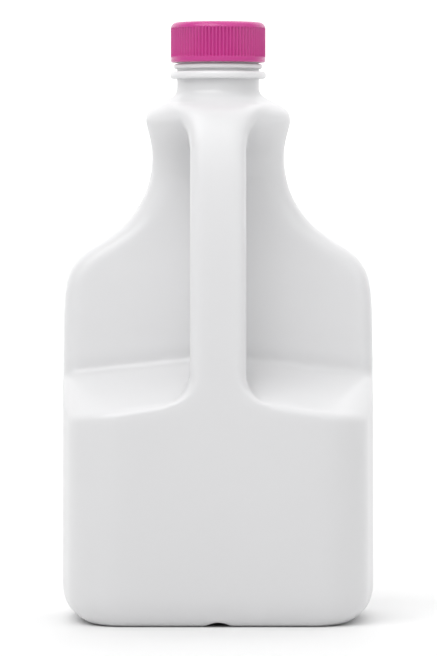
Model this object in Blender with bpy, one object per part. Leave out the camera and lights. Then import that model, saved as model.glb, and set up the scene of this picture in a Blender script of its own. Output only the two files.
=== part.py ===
"""Half-gallon plastic milk jug with a ribbed screw cap.

The jug stands on Z = 0 with its axis on Z. The handle side is the front, towards -Y.
Sizes are in millimetres here and are turned into metres where a mesh is made.
"""

import math

import bmesh
import bpy

MM = 0.001

# Body, in plan
HALF_WIDTH = 67.9
HALF_DEPTH = 50.0
CORNER_ACROSS = 21.0
CORNER_DEEP = 17.0
SIDE_BOW = 3.5
BOW_REACH = 33.0

SHORTEST_SIDE = 1.0
SMALLEST_CORNER = 4.0

# Base: a round edge, a standing ring and a shallow push-up inside it, in two steps
BASE_ROUNDING = 14.0
BASE_TUCK = 0.5
STANDING_RING = 6.0
PUSH_UP = 2.6
PUSH_UP_STEPS = [(16.0, PUSH_UP), (5.0, 0.85 * PUSH_UP), (0.0, 0.0)]
GROOVE_RADIUS = 8.5
GROOVE_HEIGHT = 2.0
GROOVE_OVERRUN = 5.0

# Pocket beside the handle: lip, sloping ledge, foot and leaning wall
LIP_HEIGHT = 98.7
LIP_ROUNDING = 2.2
LEDGE_SLOPE = 0.40
WALL_AT_FOOT = 13.2
FOOT_ROUNDING = 2.6
FOOT_TOP = 120.5
POCKET_CORNER = 7.0
WALL_VEE = 0.11

# Neck, and the two rings that stand out of it: (bottom, top, radius)
NECK_RADIUS = 17.85
NECK_FOOT = 229.5
NECK_FILLET = (228.4, 18.3)
TRANSFER_RING = (234.7, 237.9, 20.8)
UPPER_RING = (239.1, 241.0, 19.2)
RING_ROUNDING = 0.6
RING_DRAFT = 0.2
THREAD_ZONE_FOOT = 241.2
THREAD_ZONE_RADIUS = 17.6
NECK_TOP = 256.8

# Handle, which flares out into the front wall in an arc at its foot
HANDLE_HALF_WIDTH = 12.0
HANDLE_FRONT_EDGE = 4.5
HANDLE_BACK_EDGE = 5.5
HANDLE_INSET = 0.05
HANDLE_BOTTOM = 88.0
FLARE_RADIUS = 12.5
FLARE_START = 107.8
FLARE_ANGLE = 81.0

# Cap
CAP_RADIUS = 20.6
CAP_BOTTOM = 241.8
CAP_TOP = 259.3
CAP_EDGE = 0.4
CAP_TOP_ROUNDING = 2.8
CAP_TOP_ANGLES = (9.0, 30.0, 60.0, 90.0)
CAP_RIBS = 82
RIB_BOTTOM = 244.1
RIB_DEPTH = 0.55
RIB_RUNOUT = 0.4
CAP_BORE_RADIUS = 18.9
CAP_BORE_TOP = 257.3

# Points round each ring, for one half of it
FLAT_STEPS = 4
CORNER_STEPS = 7
SIDE_STEPS = 4
HANDLE_EDGE_STEPS = 5
GROOVE_SIDES = 36

# Steps up each rounded edge
BASE_STEPS = 7
BEND_STEPS = 3
LEDGE_STEPS = 5
FLARE_STEPS = 8

# Stretches of rings up the jug: (from, to, steps), closer together where the outline turns
FRONT_WALL_STRETCHES = [(BASE_ROUNDING + 24.0, 84.0, 2)]
BODY_STRETCHES = [
    (FOOT_TOP, 142.5, 4), (142.5, 166.0, 8), (166.0, 191.0, 6), (191.0, 211.0, 8), (211.0, 227.5, 10),
]
HANDLE_STRETCHES = [(FLARE_START, 190.0, 9), (190.0, 210.0, 8), (210.0, 224.0, 8)]

# Edges sharper than this many degrees stay sharp, and the pull that makes a corner a quarter circle
SHARP_ANGLE = 35.0
QUARTER_PULL = 0.5523

# Collar outline by height, the same all round: (height, radius)
COLLAR = [
    (201.0, 28.9), (208.0, 29.6), (213.5, 30.95), (217.0, 31.65), (220.3, 30.7), (222.6, 28.2),
    (225.0, 23.6), (227.5, 18.8),
]

# Outlines of the body and the handle by height: (height, value)
WIDTH_OUTLINE = [
    (14.0, HALF_WIDTH), (107.0, 67.6), (140.0, 67.25), (147.0, 66.2), (153.0, 63.7), (158.5, 59.2),
    (164.0, 50.8), (171.0, 41.3), (180.0, 34.4), (190.0, 30.3),
] + COLLAR
BACK_OUTLINE = [
    (138.0, HALF_DEPTH), (147.0, 49.2), (156.0, 46.2), (165.0, 40.8), (175.0, 35.0), (188.0, 30.6),
] + COLLAR
WALL_OUTLINE = [(FOOT_TOP, WALL_AT_FOOT), (127.0, 12.0), (186.0, 3.7), (192.0, 3.7), (200.0, 5.0)]
ROUNDNESS = [(192.0, 0.0), (200.0, 0.13), (204.0, 0.30), (208.0, 0.55), (212.0, 0.82), (217.0, 1.0)]
DROOP = [(60.0, 0.08), (LIP_HEIGHT, 0.162), (113.5, 0.112), (121.0, 0.112), (135.0, 0.06), (150.0, 0.0)]
BOW = [(100.0, SIDE_BOW), (121.0, 2.5), (150.0, 0.0)]
POCKET_EDGE = [(113.5, POCKET_CORNER), (145.0, POCKET_CORNER), (166.0, 10.5)]
BACK_EDGE = [(140.0, 21.0), (190.0, 19.0)]

HANDLE_FRONT = [
    (97.0, HALF_DEPTH - HANDLE_INSET), (118.0, 49.6), (140.0, 48.6), (161.0, 46.7), (182.0, 43.7),
    (193.0, 41.7), (204.0, 39.2), (209.0, 37.8), (213.0, 36.3), (217.0, 34.2), (220.0, 31.7),
    (222.0, 28.9), (224.0, 24.6),
]
HANDLE_BACK = [
    (88.0, 27.0), (104.0, 27.0), (108.0, 30.0), (113.0, 31.7), (120.0, 32.1), (140.0, 31.2),
    (161.0, 29.2), (182.0, 26.0), (192.0, 23.6), (198.0, 20.6), (202.0, 15.0), (205.0, 4.0), (219.0, 0.0),
]
HANDLE_EDGE = [
    (95.4, LIP_ROUNDING), (104.0, HANDLE_FRONT_EDGE), (206.0, HANDLE_FRONT_EDGE), (213.0, 7.5),
    (217.0, 11.5), (222.0, 17.0),
]
HANDLE_TOP_FLARE = [(205.0, 0.0), (210.0, 0.8), (213.0, 2.2), (217.0, 5.5), (222.0, 12.0)]


def curve(points, at):
    """Value of a smooth curve through the points, which does not swing past them."""
    if at <= points[0][0]:
        return points[0][1]
    if at >= points[-1][0]:
        return points[-1][1]
    steps = [b[0] - a[0] for a, b in zip(points, points[1:])]
    slopes = [(b[1] - a[1]) / h for a, b, h in zip(points, points[1:], steps)]
    tangents = [slopes[0]]
    for before, after, h0, h1 in zip(slopes, slopes[1:], steps, steps[1:]):
        if before * after <= 0.0:
            tangents.append(0.0)
        else:
            heavy, light = 2.0 * h1 + h0, h1 + 2.0 * h0
            tangents.append((heavy + light) / (heavy / before + light / after))
    tangents.append(slopes[-1])
    i = 0
    while at > points[i + 1][0]:
        i += 1
    h = steps[i]
    t = (at - points[i][0]) / h
    value = (1 + 2 * t) * (1 - t) ** 2 * points[i][1] + t * t * (3 - 2 * t) * points[i + 1][1]
    return value + h * t * (1 - t) ** 2 * tangents[i] + h * t * t * (t - 1) * tangents[i + 1]


def between(low, high, share):
    return low + (high - low) * share


def heights_in(stretches):
    """Heights of the rings in a run of stretches, each from its start to its end."""
    heights = [stretches[0][0]]
    for low, high, steps in stretches:
        heights += [between(low, high, (i + 1) / steps) for i in range(steps)]
    return heights


def rounded(start, apex, end, steps):
    """Points of a round corner from start to end, both included, whose sides meet at apex."""
    points = []
    for i in range(steps + 1):
        t = i / steps
        weights = ((1 - t) ** 3, 3 * t * (1 - t) ** 2, 3 * t * t * (1 - t), t ** 3)
        knots = (
            start,
            tuple(between(a, b, QUARTER_PULL) for a, b in zip(start, apex)),
            tuple(between(a, b, QUARTER_PULL) for a, b in zip(end, apex)),
            end,
        )
        points.append(tuple(sum(w * k[axis] for w, k in zip(weights, knots)) for axis in (0, 1)))
    return points


def half_outline(width, front, back, across, deep, back_edge, bow, vee):
    """One half of a body section, from the middle of the front round to the middle of the back."""

    def side(y):
        return width - bow * (y / BOW_REACH) ** 2

    front_end = -front + vee * (width - across) + deep
    back_start = back - back_edge
    front_end = min(front_end, back_start - SHORTEST_SIDE)
    lean = -2.0 * bow * front_end / BOW_REACH ** 2
    apex_x = (side(front_end) + lean * (-front - front_end)) / (1.0 - lean * vee)
    apex = (apex_x, -front + vee * apex_x)
    flat_x = apex_x - across
    points = []
    for i in range(FLAT_STEPS):
        x = flat_x * i / FLAT_STEPS
        points.append((x, -front + vee * x))
    points += rounded((flat_x, -front + vee * flat_x), apex, (side(front_end), front_end), CORNER_STEPS)
    for i in range(1, SIDE_STEPS):
        y = between(front_end, back_start, i / SIDE_STEPS)
        points.append((side(y), y))
    lean = -2.0 * bow * back_start / BOW_REACH ** 2
    apex_x = side(back_start) + lean * back_edge
    flat_x = apex_x - back_edge
    points += rounded((side(back_start), back_start), (apex_x, back), (flat_x, back), CORNER_STEPS)
    for i in range(1, FLAT_STEPS + 1):
        points.append((flat_x * (1.0 - i / FLAT_STEPS), back))
    return points


def to_circle(points, radius, share):
    """Move a half outline towards a half circle about the axis by the given share."""
    last = len(points) - 1
    moved = []
    for i, (x, y) in enumerate(points):
        angle = math.pi * i / last
        moved.append((
            between(x, radius * math.sin(angle), share),
            between(y, -radius * math.cos(angle), share),
        ))
    return moved


def whole_ring(points, height, droop):
    """Both halves of a section at a height, in metres; its front half hangs lower outwards."""
    front_points = FLAT_STEPS + CORNER_STEPS
    right = []
    for i, (x, y) in enumerate(points):
        share = 1.0 if i <= front_points else max(0.0, 1.0 - (i - front_points) / SIDE_STEPS)
        right.append((x * MM, y * MM, (height - droop * x * share) * MM))
    left = [(-x, y, z) for x, y, z in reversed(right[1:-1])]
    return right + left


def base_rings():
    """Push-up, standing ring and the round edge, which tucks in less at the front and back."""
    inner = BASE_ROUNDING + STANDING_RING
    insets = [(inner + inset, height) for inset, height in PUSH_UP_STEPS]
    for i in range(BASE_STEPS + 1):
        angle = math.radians(90.0) * i / BASE_STEPS
        insets.append((BASE_ROUNDING * (1 - math.sin(angle)), BASE_ROUNDING * (1 - math.cos(angle))))
    rings = []
    for inset, height in insets:
        depth = HALF_DEPTH - BASE_TUCK * inset
        across = max(CORNER_ACROSS - inset, SMALLEST_CORNER)
        deep = max(CORNER_DEEP - BASE_TUCK * inset, SMALLEST_CORNER)
        edge = max(BACK_EDGE[0][1] - inset, SMALLEST_CORNER)
        outline = half_outline(HALF_WIDTH - inset, depth, depth, across, deep, edge, SIDE_BOW, 0.0)
        rings.append(whole_ring(outline, height, 0.0))
    return rings


def bend(start, corner, end, reach, steps):
    """Points of a corner in the front profile, rounded over reach on both sides."""

    def towards(goal):
        length = math.dist(corner, goal)
        return tuple(between(a, b, reach / length) for a, b in zip(corner, goal))

    return rounded(towards(start), corner, towards(end), steps)


def front_profile():
    """(height, distance of the front from the axis) for each ring above the base."""
    lip = (LIP_HEIGHT, HALF_DEPTH)
    foot = (LIP_HEIGHT + LEDGE_SLOPE * (HALF_DEPTH - WALL_AT_FOOT), WALL_AT_FOOT)
    wall = (FOOT_TOP, WALL_AT_FOOT)
    profile = [(height, HALF_DEPTH) for height in heights_in(FRONT_WALL_STRETCHES)]
    profile += bend((0.0, HALF_DEPTH), lip, foot, LIP_ROUNDING, BEND_STEPS)
    for i in range(1, LEDGE_STEPS):
        profile.append(tuple(between(a, b, i / LEDGE_STEPS) for a, b in zip(lip, foot)))
    profile += bend(lip, foot, wall, FOOT_ROUNDING, BEND_STEPS)
    profile += [(height, curve(WALL_OUTLINE, height)) for height in heights_in(BODY_STRETCHES)]
    return profile


def body_rings():
    rings = []
    for height, front in front_profile():
        width = curve(WIDTH_OUTLINE, height)
        back = curve(BACK_OUTLINE, height)
        edge = curve(POCKET_EDGE, height)
        ledge = min(max((HALF_DEPTH - front) / (HALF_DEPTH - WALL_AT_FOOT), 0.0), 1.0)
        across = between(CORNER_ACROSS, edge, ledge)
        deep = between(CORNER_DEEP, edge, ledge)
        outline = half_outline(
            width, front, back, across, deep, curve(BACK_EDGE, height), curve(BOW, height), WALL_VEE * ledge
        )
        outline = to_circle(outline, width, curve(ROUNDNESS, height))
        rings.append(whole_ring(outline, height, curve(DROOP, height)))
    return rings


def rim(bottom, top, radius):
    """(height, radius) points of a ring that stands out of the neck, with rounded edges."""
    inner = radius - RING_ROUNDING
    return [
        (bottom, NECK_RADIUS), (bottom + RING_DRAFT, inner), (bottom + RING_ROUNDING, radius),
        (top - RING_ROUNDING, radius), (top - RING_DRAFT, inner), (top, NECK_RADIUS),
    ]


def neck_rings():
    """Turned neck: root fillet, transfer ring, upper ring and the plain zone under the cap."""
    profile = [NECK_FILLET, (NECK_FOOT, NECK_RADIUS)] + rim(*TRANSFER_RING) + rim(*UPPER_RING)
    profile += [(THREAD_ZONE_FOOT, THREAD_ZONE_RADIUS), (NECK_TOP, THREAD_ZONE_RADIUS)]
    last = 2 * FLAT_STEPS + 2 * CORNER_STEPS + SIDE_STEPS
    blank = [(0.0, 0.0)] * (last + 1)
    return [whole_ring(to_circle(blank, radius, 1.0), height, 0.0) for height, radius in profile]


def new_object(name, rings, material):
    """A closed solid through the rings, which run from the bottom to the top."""
    mesh = bpy.data.meshes.new(name)
    bm = bmesh.new()
    loops = [[bm.verts.new(point) for point in ring] for ring in rings]
    count = len(loops[0])
    for low, high in zip(loops, loops[1:]):
        for i in range(count):
            j = (i + 1) % count
            bm.faces.new((low[i], low[j], high[j], high[i]))
    bm.faces.new(list(reversed(loops[0])))
    bm.faces.new(loops[-1])
    bmesh.ops.recalc_face_normals(bm, faces=bm.faces[:])
    bm.to_mesh(mesh)
    bm.free()
    mesh.shade_smooth()
    mesh.set_sharp_from_angle(angle=math.radians(SHARP_ANGLE))
    if material:
        mesh.materials.append(material)
    obj = bpy.data.objects.new(name, mesh)
    bpy.context.scene.collection.objects.link(obj)
    return obj


def handle_rings():
    """Rounded bar from inside the front wall up into the collar."""
    flare = []
    for i in range(FLARE_STEPS):
        angle = math.radians(FLARE_ANGLE) * (1.0 - i / FLARE_STEPS)
        half = HANDLE_HALF_WIDTH + FLARE_RADIUS * (1.0 - math.cos(angle))
        flare.append((FLARE_START - FLARE_RADIUS * math.sin(angle), half))
    places = [(HANDLE_BOTTOM, flare[0][1])] + flare
    for height in heights_in(HANDLE_STRETCHES):
        places.append((height, HANDLE_HALF_WIDTH + curve(HANDLE_TOP_FLARE, height)))
    rings = []
    for height, half in places:
        front = -curve(HANDLE_FRONT, height)
        back = -curve(HANDLE_BACK, height)
        edge = curve(HANDLE_EDGE, height)
        outline = [(0.0, front)]
        outline += rounded((half - edge, front), (half, front), (half, front + edge), HANDLE_EDGE_STEPS)
        edge = HANDLE_BACK_EDGE
        outline += rounded((half, back - edge), (half, back), (half - edge, back), HANDLE_EDGE_STEPS)
        outline += [(0.0, back)]
        right = [(x * MM, y * MM, height * MM) for x, y in outline]
        rings.append(right + [(-x, y, z) for x, y, z in reversed(right[1:-1])])
    return rings


def groove_rings():
    """Pinch-off groove across the base, front to back."""
    rings = []
    for y in (-HALF_DEPTH - GROOVE_OVERRUN, HALF_DEPTH + GROOVE_OVERRUN):
        ring = []
        for i in range(GROOVE_SIDES):
            angle = 2.0 * math.pi * i / GROOVE_SIDES
            x = GROOVE_RADIUS * math.sin(angle)
            z = GROOVE_HEIGHT - GROOVE_RADIUS + GROOVE_RADIUS * math.cos(angle)
            ring.append((x * MM, y * MM, z * MM))
        rings.append(ring)
    return rings


def cap_rings():
    """Cap from the top of its bore, down inside, out under the skirt and up over the ribs."""

    def ring(radius, height, rib=0.0):
        points = []
        for i in range(2 * CAP_RIBS):
            angle = math.pi * i / CAP_RIBS
            r = radius - (rib if i % 2 else 0.0)
            points.append((r * math.cos(angle) * MM, r * math.sin(angle) * MM, height * MM))
        return points

    rings = [ring(CAP_BORE_RADIUS, CAP_BORE_TOP), ring(CAP_BORE_RADIUS, CAP_BOTTOM)]
    rings.append(ring(CAP_RADIUS - CAP_EDGE, CAP_BOTTOM))
    rings.append(ring(CAP_RADIUS, CAP_BOTTOM + CAP_EDGE))
    rings.append(ring(CAP_RADIUS, RIB_BOTTOM))
    rings.append(ring(CAP_RADIUS, RIB_BOTTOM + RIB_RUNOUT, RIB_DEPTH))
    shoulder = CAP_TOP - CAP_TOP_ROUNDING
    rings.append(ring(CAP_RADIUS, shoulder, RIB_DEPTH))
    for degrees in CAP_TOP_ANGLES:
        angle = math.radians(degrees)
        radius = CAP_RADIUS - CAP_TOP_ROUNDING * (1 - math.cos(angle))
        rings.append(ring(radius, shoulder + CAP_TOP_ROUNDING * math.sin(angle)))
    return rings


def plastic(name, color, roughness):
    material = bpy.data.materials.new(name)
    material.use_nodes = True
    shader = material.node_tree.nodes["Principled BSDF"]
    shader.inputs["Base Color"].default_value = (*color, 1.0)
    shader.inputs["Roughness"].default_value = roughness
    shader.inputs["Metallic"].default_value = 0.0
    return material


def boolean(target, other, operation):
    other.hide_render = True
    other.display_type = "WIRE"
    modifier = target.modifiers.new(other.name, "BOOLEAN")
    modifier.operation = operation
    modifier.solver = "EXACT"
    modifier.object = other


def main():
    for obj in list(bpy.data.objects):
        bpy.data.objects.remove(obj, do_unlink=True)
    milk_white = plastic("jug_plastic", (0.80, 0.80, 0.80), 0.42)
    magenta = plastic("cap_plastic", (0.52, 0.06, 0.25), 0.38)
    jug = new_object("jug", base_rings() + body_rings() + neck_rings(), milk_white)
    boolean(jug, new_object("handle_bar", handle_rings(), milk_white), "UNION")
    boolean(jug, new_object("pinch_groove", groove_rings(), None), "DIFFERENCE")
    new_object("cap", cap_rings(), magenta)


main()
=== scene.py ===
"""Looks of a half-gallon plastic milk jug with a ribbed screw cap, in a soft white studio."""
import math

import bpy
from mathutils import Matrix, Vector


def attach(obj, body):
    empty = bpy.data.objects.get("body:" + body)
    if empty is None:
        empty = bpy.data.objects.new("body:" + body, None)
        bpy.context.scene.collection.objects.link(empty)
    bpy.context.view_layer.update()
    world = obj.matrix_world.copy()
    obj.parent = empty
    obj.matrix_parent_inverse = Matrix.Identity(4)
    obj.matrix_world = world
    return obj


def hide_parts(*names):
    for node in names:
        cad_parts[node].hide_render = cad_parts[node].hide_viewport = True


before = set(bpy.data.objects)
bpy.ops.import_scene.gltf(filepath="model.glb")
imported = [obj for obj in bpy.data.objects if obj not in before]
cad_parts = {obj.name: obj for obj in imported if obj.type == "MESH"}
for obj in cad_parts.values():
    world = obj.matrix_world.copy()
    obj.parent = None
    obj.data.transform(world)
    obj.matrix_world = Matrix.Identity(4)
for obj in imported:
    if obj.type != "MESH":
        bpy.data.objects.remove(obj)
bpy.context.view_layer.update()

MM = 0.001

# Skin of the jug: fineness of the remesh, then smoothing all over and more on the broad faces
MERGE_DISTANCE = 0.01 * MM
NECK_CUT = 231.5 * MM
SKIN_VOXEL = 1.18 * MM
SMOOTH_FACTOR = 0.5
FINE_PASSES = 5
BROAD_PASSES = 24

# Three zones keep their crisp edges: the grip, in front of a plane and above a height, the collar,
# above a height, and the edge that the jug stands on, below a height. They fade out over 8 mm
GRIP_PLANE = -6.0 * MM
GRIP_LOW = 88.0 * MM
COLLAR_LOW = 212.0 * MM
BASE_HIGH = 4.0 * MM
CRISP_FADE = 8.0 * MM

# Neck, and the two rings that stand out of it: (bottom, top, radius, rounding of the edges)
NECK_RADIUS = 17.85 * MM
NECK_FOOT = 229.4 * MM
NECK_FILLET = 3.2 * MM
FILLET_ANGLE = 80.0
TRANSFER_RING = (234.7 * MM, 237.9 * MM, 20.85 * MM, 1.3 * MM)
UPPER_RING = (239.1 * MM, 241.1 * MM, 19.25 * MM, 0.85 * MM)
THREAD_ZONE_FOOT = 241.3 * MM
THREAD_ZONE_RADIUS = 17.6 * MM
NECK_TOP = 256.8 * MM
NECK_SIDES = 160
ARC_STEPS = 5

# Cap: a plain band below, ribs above it and a rounded top edge, which starts a few degrees round
# so that the ribs run out below it
CAP_RADIUS = 20.6 * MM
CAP_BOTTOM = 241.8 * MM
CAP_TOP = 259.3 * MM
CAP_EDGE = 0.35 * MM
CAP_ROLL = 0.9 * MM
BAND_WAIST = 0.15 * MM
CAP_TOP_ROUNDING = 2.8 * MM
TOP_EDGE_START = 8.0
TOP_FLAT_INSET = 0.7 * MM
CAP_BORE_RADIUS = 18.9 * MM
CAP_BORE_TOP = 257.3 * MM

# Ribs: the grooves between them are points pressed in, from RIB_FOOT up to RIB_TOP
CAP_RIBS = 82
POINTS_PER_RIB = 8
RIB_BOTTOM = 244.1 * MM
RIB_RUNOUT = 0.35 * MM
RIB_FOOT = RIB_BOTTOM + 0.5 * RIB_RUNOUT
RIB_TOP = 256.8 * MM
RIB_DEPTH = 0.75 * MM

# A groove between two rounded ribs: (steps from its middle, share of the depth)
GROOVE_SHAPE = [(0, 1.0), (1, 0.85), (2, 0.45), (3, 0.12)]

# Edges that turn by more degrees than this are shaded sharp
JUG_SHARP_ANGLE = 40.0
CAP_SHARP_ANGLE = 50.0

# Size of the grain in the two plastics, and of the slow mottling in the jug's
JUG_GRAIN = 1.0 * MM
JUG_MOTTLE = 25.0 * MM
CAP_GRAIN = 0.5 * MM

# Camera, level with the collar and far off: metres, degrees down, and lens in millimetres
CAMERA_PLACE = (0.00016, -1.885, 0.191)
CAMERA_TILT = 1.968
CAMERA_LENS = 237.3

# Floor, metres across
FLOOR_SIZE = 60.0

# Surround: strength in front and behind, and where it changes, from 0 at the sides to 1 behind
SURROUND_FRONT = 0.4
SURROUND_BACK = 1.3
SURROUND_EDGE = (0.1, 0.6)

# Soft lights far off: (degrees round from the front, degrees up, degrees wide, strength)
KEY_LIGHT = (-42.0, 54.0, 45.0, 1.25)
FRONT_FILL = (48.0, 46.0, 60.0, 0.55)
TOP_LIGHT = (160.0, 72.0, 50.0, 0.45)

# A softbox close to the jug with a grid on it, so that the light fades from the cap to the base
SOFTBOX_PLACE = (-0.05, -0.49, 0.58)
SOFTBOX_TARGET = (0.0, -0.02, 0.23)
SOFTBOX_SIZE = 0.35
SOFTBOX_GRID = 50.0
SOFTBOX_POWER = 0.09


def deselect_all():
    for obj in bpy.context.selected_objects:
        obj.select_set(False)


def make_active(obj):
    deselect_all()
    obj.select_set(True)
    bpy.context.view_layer.objects.active = obj


def apply_modifier(obj, kind, **settings):
    make_active(obj)
    modifier = obj.modifiers.new(kind.title(), kind)
    for key, value in settings.items():
        setattr(modifier, key, value)
    bpy.ops.object.modifier_apply(modifier=modifier.name)


def smooth_shading(obj, sharp_angle):
    make_active(obj)
    bpy.ops.object.shade_smooth_by_angle(angle=math.radians(sharp_angle))


def turn(name, profile, sides):
    """A round piece, drawn from a circle ring by ring: (height, radius) pairs."""
    deselect_all()
    height, radius = profile[0]
    bpy.ops.mesh.primitive_circle_add(
        vertices=sides, radius=radius, fill_type="NGON", location=(0.0, 0.0, height)
    )
    piece = bpy.context.object
    piece.name = name
    bpy.ops.object.transform_apply(location=True, rotation=True, scale=True)
    bpy.ops.object.mode_set(mode="EDIT")
    for (low, before), (high, after) in zip(profile, profile[1:]):
        bpy.ops.mesh.extrude_region_move(TRANSFORM_OT_translate={"value": (0.0, 0.0, high - low)})
        factor = after / before
        bpy.ops.transform.resize(value=(factor, factor, 1.0), center_override=(0.0, 0.0, high))
    bpy.ops.mesh.select_all(action="SELECT")
    bpy.ops.mesh.normals_make_consistent(inside=False)
    bpy.ops.object.mode_set(mode="OBJECT")
    return piece


def arc(height, radius, rounding, start, end):
    """(height, radius) points of a round about its centre: 0 degrees is outwards and 90 is up."""
    points = []
    for i in range(ARC_STEPS + 1):
        angle = math.radians(start + (end - start) * i / ARC_STEPS)
        points.append((height + rounding * math.sin(angle), radius + rounding * math.cos(angle)))
    return points


def rim(bottom, top, radius, rounding):
    """A ring that stands out of the neck, square to it, with rounded edges."""
    centre = radius - rounding
    lower_edge = arc(bottom + rounding, centre, rounding, -90.0, 0.0)
    upper_edge = arc(top - rounding, centre, rounding, 0.0, 90.0)
    return [(bottom, NECK_RADIUS)] + lower_edge + upper_edge + [(top, NECK_RADIUS)]


def crisp_share(place):
    """1 where the grip, pocket, collar and base keep their edges, 0 on broad faces, softly joined."""
    grip = min(GRIP_PLANE - place.y, place.z - GRIP_LOW)
    inside = max(grip, place.z - COLLAR_LOW, BASE_HIGH - place.z)
    return min(max(inside / CRISP_FADE + 1.0, 0.0), 1.0)


def jug_skin():
    """The blown body: the solid below the neck, remeshed fine and with its edges softened."""
    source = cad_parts["jug"]
    skin = bpy.data.objects.new("jug_skin", source.data.copy())
    skin.data.materials.clear()
    bpy.context.scene.collection.objects.link(skin)
    make_active(skin)
    bpy.ops.object.mode_set(mode="EDIT")
    bpy.ops.mesh.select_all(action="SELECT")
    bpy.ops.mesh.remove_doubles(threshold=MERGE_DISTANCE)
    bpy.ops.mesh.select_all(action="SELECT")
    bpy.ops.mesh.bisect(
        plane_co=(0.0, 0.0, NECK_CUT), plane_no=(0.0, 0.0, 1.0), use_fill=True, clear_outer=True
    )
    bpy.ops.object.mode_set(mode="OBJECT")
    apply_modifier(skin, "REMESH", mode="VOXEL", voxel_size=SKIN_VOXEL)
    apply_modifier(skin, "SMOOTH", factor=SMOOTH_FACTOR, iterations=FINE_PASSES)
    broad = skin.vertex_groups.new(name="broad_faces")
    for vertex in skin.data.vertices:
        broad.add([vertex.index], 1.0 - crisp_share(vertex.co), "REPLACE")
    apply_modifier(
        skin, "SMOOTH", factor=SMOOTH_FACTOR, iterations=BROAD_PASSES, vertex_group=broad.name
    )
    skin.vertex_groups.clear()
    return skin


def neck_finish():
    """Turned neck with its root fillet, transfer ring, upper ring and the plain zone under the cap."""
    fillet_centre = NECK_RADIUS + NECK_FILLET
    profile = arc(NECK_FOOT, fillet_centre, NECK_FILLET, 180.0 + FILLET_ANGLE, 180.0)
    profile += rim(*TRANSFER_RING)
    profile += rim(*UPPER_RING)
    profile += [(THREAD_ZONE_FOOT, THREAD_ZONE_RADIUS), (NECK_TOP, THREAD_ZONE_RADIUS)]
    return turn("neck_finish", profile, NECK_SIDES)


def build_jug(material):
    """The skin and the neck, joined into one closed piece."""
    skin = jug_skin()
    neck = neck_finish()
    apply_modifier(skin, "BOOLEAN", operation="UNION", solver="EXACT", object=neck)
    bpy.data.objects.remove(neck)
    smooth_shading(skin, JUG_SHARP_ANGLE)
    skin.data.materials.append(material)
    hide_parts("jug")
    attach(skin, "root")


def sink_grooves(cap, steps_off, depth):
    """Press in the upright rows of points that lie so many steps from the middle of a groove."""
    bpy.ops.object.mode_set(mode="EDIT")
    bpy.ops.mesh.select_mode(type="VERT")
    bpy.ops.mesh.select_all(action="DESELECT")
    bpy.ops.object.mode_set(mode="OBJECT")
    half = POINTS_PER_RIB // 2
    for vertex in cap.data.vertices:
        place = vertex.co
        step = round(math.atan2(place.x, -place.y) / math.tau * CAP_RIBS * POINTS_PER_RIB)
        from_middle = (step + half) % POINTS_PER_RIB - half
        outer = math.hypot(place.x, place.y) > CAP_RADIUS - RIB_DEPTH
        ribbed = RIB_FOOT < place.z < RIB_TOP
        vertex.select = outer and ribbed and abs(from_middle) == steps_off
    bpy.ops.object.mode_set(mode="EDIT")
    factor = 1.0 - depth / CAP_RADIUS
    bpy.ops.transform.resize(value=(factor, factor, 1.0), center_override=(0.0, 0.0, 0.0))
    bpy.ops.object.mode_set(mode="OBJECT")


def build_cap(material):
    """Cap from its bore down, out under the skirt, up the band and ribs and over the top."""
    shoulder = CAP_TOP - CAP_TOP_ROUNDING
    corner = CAP_RADIUS - CAP_TOP_ROUNDING
    profile = [
        (CAP_BORE_TOP, CAP_BORE_RADIUS),
        (CAP_BOTTOM + CAP_EDGE, CAP_BORE_RADIUS),
        (CAP_BOTTOM, CAP_BORE_RADIUS + CAP_EDGE),
    ]
    profile += arc(CAP_BOTTOM + CAP_ROLL, CAP_RADIUS - CAP_ROLL, CAP_ROLL, -90.0, 0.0)
    profile += [
        (RIB_BOTTOM - 2.0 * RIB_RUNOUT, CAP_RADIUS - BAND_WAIST),
        (RIB_BOTTOM, CAP_RADIUS),
        (RIB_BOTTOM + RIB_RUNOUT, CAP_RADIUS),
        (RIB_BOTTOM + 2.0 * RIB_RUNOUT, CAP_RADIUS),
        (shoulder, CAP_RADIUS),
    ]
    profile += arc(shoulder, corner, CAP_TOP_ROUNDING, TOP_EDGE_START, 90.0)
    profile += [(CAP_TOP, corner - TOP_FLAT_INSET)]
    cap = turn("screw_cap", profile, CAP_RIBS * POINTS_PER_RIB)
    for steps_off, share in GROOVE_SHAPE:
        sink_grooves(cap, steps_off, RIB_DEPTH * share)
    smooth_shading(cap, CAP_SHARP_ANGLE)
    cap.data.materials.append(material)
    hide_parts("cap")
    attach(cap, "root")


def srgb(code):
    """Linear colour of a six-figure sRGB hex code."""
    values = [int(code[i:i + 2], 16) / 255.0 for i in (0, 2, 4)]
    return tuple(v / 12.92 if v <= 0.04045 else ((v + 0.055) / 1.055) ** 2.4 for v in values) + (1.0,)


def add(tree, kind, inputs=None, **settings):
    """A node of this kind, with its settings, and its inputs set to values or linked to outputs."""
    node = tree.nodes.new(kind)
    for key, value in settings.items():
        setattr(node, key, value)
    for name, value in (inputs or {}).items():
        if isinstance(value, bpy.types.NodeSocket):
            tree.links.new(value, node.inputs[name])
        else:
            node.inputs[name].default_value = value
    return node


def new_material(name):
    material = bpy.data.materials.new(name)
    material.use_nodes = True
    return material, material.node_tree, material.node_tree.nodes["Principled BSDF"]


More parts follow.
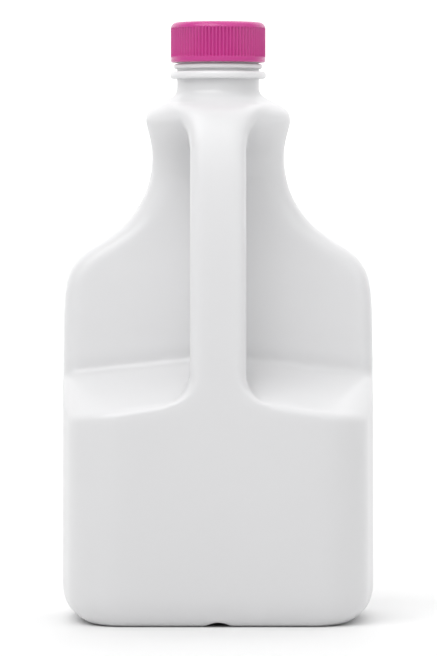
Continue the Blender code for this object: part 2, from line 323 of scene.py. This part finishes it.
def hdpe():
    """Blow-moulded high-density polyethylene, pigmented white: waxy satin over a blasted mould.

    The grain is coarser than the real 0.3 mm blast, so that it shows in the render. The slow
    mottling is the uneven wall and chill of a blown bottle, and shows in the sheen.
    """
    material, tree, shader = new_material("blow_moulded_hdpe")
    place = add(tree, "ShaderNodeTexCoord").outputs["Object"]
    grain = add(tree, "ShaderNodeTexNoise", {"Vector": place, "Scale": 1.0 / JUG_GRAIN, "Detail": 2.0})
    bump = add(tree, "ShaderNodeBump", {
        "Height": grain.outputs["Fac"], "Distance": 0.02 * MM, "Strength": 0.4,
    })
    mottle = add(tree, "ShaderNodeTexNoise", {"Vector": place, "Scale": 1.0 / JUG_MOTTLE, "Detail": 3.0})
    sheen = add(tree, "ShaderNodeMapRange", {
        "Value": mottle.outputs["Fac"], "To Min": 0.26, "To Max": 0.34,
    })
    tree.links.new(bump.outputs["Normal"], shader.inputs["Normal"])
    tree.links.new(sheen.outputs["Result"], shader.inputs["Roughness"])
    shader.inputs["Base Color"].default_value = srgb("dcdcdd")
    shader.inputs["IOR"].default_value = 1.54
    shader.inputs["Subsurface Weight"].default_value = 0.8
    shader.inputs["Subsurface Radius"].default_value = (1.0, 1.0, 1.0)
    shader.inputs["Subsurface Scale"].default_value = 4.0 * MM
    return material


def polypropylene():
    """Injection-moulded polypropylene, magenta: satin, with clean highlights along the ribs.

    The grain is the finest that shows, and stands for the light etch of the tool.
    """
    material, tree, shader = new_material("moulded_polypropylene")
    place = add(tree, "ShaderNodeTexCoord").outputs["Object"]
    grain = add(tree, "ShaderNodeTexNoise", {"Vector": place, "Scale": 1.0 / CAP_GRAIN, "Detail": 2.0})
    bump = add(tree, "ShaderNodeBump", {
        "Height": grain.outputs["Fac"], "Distance": 0.01 * MM, "Strength": 0.4,
    })
    sheen = add(tree, "ShaderNodeMapRange", {
        "Value": grain.outputs["Fac"], "To Min": 0.20, "To Max": 0.28,
    })
    tree.links.new(bump.outputs["Normal"], shader.inputs["Normal"])
    tree.links.new(sheen.outputs["Result"], shader.inputs["Roughness"])
    shader.inputs["Base Color"].default_value = srgb("c23b8b")
    shader.inputs["IOR"].default_value = 1.49
    shader.inputs["Subsurface Weight"].default_value = 0.1
    shader.inputs["Subsurface Radius"].default_value = (1.0, 0.4, 0.6)
    shader.inputs["Subsurface Scale"].default_value = 0.8 * MM
    return material


def white_floor():
    """Matte white laminate sheet: plain, with hardly any shine."""
    deselect_all()
    bpy.ops.mesh.primitive_plane_add(size=FLOOR_SIZE, location=(0.0, 0.0, 0.0))
    floor = bpy.context.object
    floor.name = "floor"
    material, _, shader = new_material("matte_laminate")
    shader.inputs["Base Color"].default_value = srgb("ececec")
    shader.inputs["Roughness"].default_value = 0.6
    floor.data.materials.append(material)


def soft_light(name, azimuth, elevation, width, strength):
    """A softbox far off: degrees round from the front to the right, up, and across."""
    data = bpy.data.lights.new(name, "SUN")
    data.energy = strength
    data.angle = math.radians(width)
    light = bpy.data.objects.new(name, data)
    light.rotation_euler = (math.radians(90.0 - elevation), 0.0, math.radians(azimuth))
    bpy.context.scene.collection.objects.link(light)


def near_softbox():
    """The softbox close to the jug, aimed at the foot of its neck."""
    data = bpy.data.lights.new("near_softbox", "AREA")
    data.energy = SOFTBOX_POWER
    data.size = SOFTBOX_SIZE
    data.spread = math.radians(SOFTBOX_GRID)
    light = bpy.data.objects.new("near_softbox", data)
    light.location = SOFTBOX_PLACE
    aim = Vector(SOFTBOX_TARGET) - Vector(SOFTBOX_PLACE)
    light.rotation_euler = aim.to_track_quat("-Z", "Y").to_euler()
    bpy.context.scene.collection.objects.link(light)


def white_surround():
    """White paper behind the jug, and a dimmer room on the handle's side."""
    world = bpy.data.worlds.new("white_surround")
    bpy.context.scene.world = world
    world.use_nodes = True
    tree = world.node_tree
    direction = add(tree, "ShaderNodeTexCoord").outputs["Generated"]
    parts = add(tree, "ShaderNodeSeparateXYZ", {"Vector": direction})
    shade = add(tree, "ShaderNodeMapRange", {
        "Value": parts.outputs["Y"], "From Min": SURROUND_EDGE[0], "From Max": SURROUND_EDGE[1],
        "To Min": SURROUND_FRONT, "To Max": SURROUND_BACK,
    }, interpolation_type="SMOOTHSTEP")
    background = tree.nodes["Background"]
    tree.links.new(shade.outputs["Result"], background.inputs["Strength"])
    background.inputs["Color"].default_value = (1.0, 1.0, 1.0, 1.0)


def studio():
    """Floor, surround and lights, shown with plain sRGB so that white paper stays white."""
    white_floor()
    white_surround()
    soft_light("key_softbox", *KEY_LIGHT)
    soft_light("front_fill", *FRONT_FILL)
    soft_light("top_softbox", *TOP_LIGHT)
    near_softbox()
    bpy.context.scene.view_settings.view_transform = "Standard"


def camera():
    data = bpy.data.cameras.new("camera")
    data.lens = CAMERA_LENS
    obj = bpy.data.objects.new("camera", data)
    obj.location = CAMERA_PLACE
    obj.rotation_euler = (math.radians(90.0 - CAMERA_TILT), 0.0, 0.0)
    bpy.context.scene.collection.objects.link(obj)
    bpy.context.scene.camera = obj


build_jug(hdpe())
build_cap(polypropylene())
studio()
camera()
